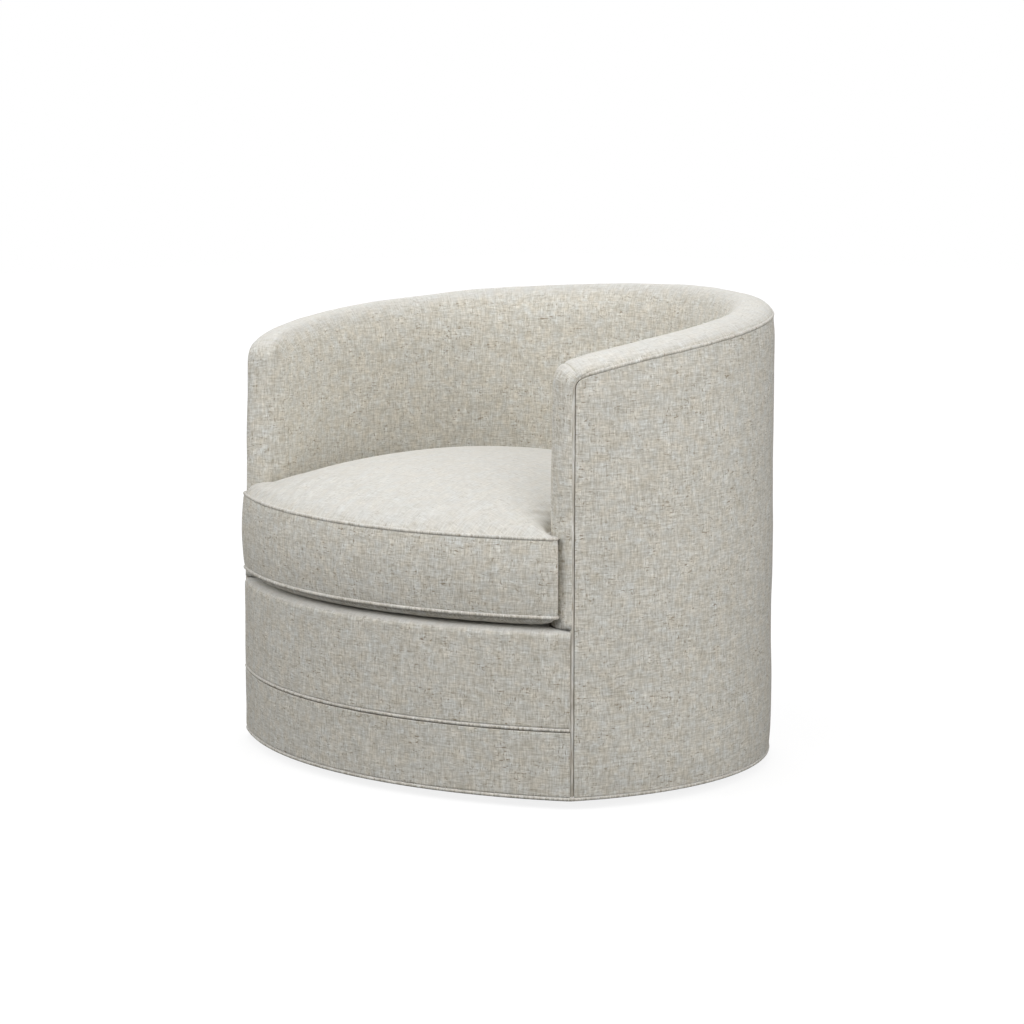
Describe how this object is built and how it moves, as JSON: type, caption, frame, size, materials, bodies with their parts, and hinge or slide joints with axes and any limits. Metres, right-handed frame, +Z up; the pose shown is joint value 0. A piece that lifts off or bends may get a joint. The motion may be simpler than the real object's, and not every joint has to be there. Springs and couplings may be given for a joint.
{
  "type": "swivel barrel chair",
  "caption": "Upholstered tub chair with a loose crowned seat cushion and welted edges, turning on a hidden ball bearing base.",
  "frame": {"origin": "on the floor on the swivel axis, under the middle of the chair's bounding box", "axes": "+Z up along the swivel axis; -Y out of the open front of the seat; +X to the right as one faces the chair's front"},
  "size_m": [0.8414, 0.749, 0.7135],
  "materials": {
    "linen": "heathered plain weave upholstery, matt",
    "welt": "same cloth round a cord, matt",
    "deck_cloth": "plain deck cloth",
    "foam": "open cell foam, matt",
    "felt": "bonded felt",
    "zip_tape": "zip tape and coil",
    "dust_cloth": "black non-woven cloth",
    "timber": "bare plywood, sanded",
    "fibreboard": "thin bare fibreboard",
    "plate_steel": "pressed and zinc plated",
    "spring_wire": "dark oiled spring wire",
    "ball_steel": "polished bearing steel",
    "cage_nylon": "natural nylon",
    "glide_nylon": "black nylon, satin"
  },
  "bodies": {
    "base": {"floor_glides": "glide_nylon", "base_disc": "timber", "lower_plate": "plate_steel", "lower_screws": "plate_steel"},
    "ball_ring": {"ball_cage": "cage_nylon", "balls": "ball_steel"},
    "chair": {"inside_cover": "linen", "roll_cover": "linen", "outer_cover": "linen", "apron_cover": "linen", "apron_band": "linen", "edge_welt": "welt", "apron_welt": "welt", "hem_welt": "welt", "deck_cloth": "deck_cloth", "inside_foam": "foam", "roll_foam": "foam", "deck_pad": "foam", "spring_insulator": "felt", "dust_cover": "dust_cloth", "swivel_boards": "timber", "bottom_ring": "timber", "front_rail": "timber", "front_post_right": "timber", "front_post_left": "timber", "upright_1": "timber", "upright_2": "timber", "upright_3": "timber", "upright_4": "timber", "upright_5": "timber", "upright_6": "timber", "upright_7": "timber", "top_rail": "timber", "seat_ring": "timber", "outer_liner": "fibreboard", "inner_liner": "fibreboard", "apron_liner": "fibreboard", "upper_plate": "plate_steel", "pivot_rivet": "plate_steel", "plate_bolts": "plate_steel", "tee_nuts": "plate_steel", "spring_clips": "plate_steel", "seat_springs": "spring_wire"},
    "cushion": {"cushion_core": "foam", "cushion_cover": "linen", "cushion_zip": "zip_tape", "cushion_welt_top": "welt", "cushion_welt_low": "welt"}
  },
  "joints": [
    {"name": "swivel", "type": "hinge", "parent": "base", "child": "chair", "pos_m": [0, 0, 0.035], "axis": [0, 0, 1], "continuous": true},
    {"name": "ball_roll", "type": "hinge", "parent": "base", "child": "ball_ring", "pos_m": [0, 0, 0.035], "axis": [0, 0, 1], "continuous": true},
    {"name": "cushion_lift", "type": "slide", "parent": "chair", "child": "cushion", "axis": [0, 0, 1], "range_m": [0, 0.45]}
  ],
  "couplings": [
    {"joint": "ball_roll", "follows": "swivel", "ratio": 0.5}
  ]
}
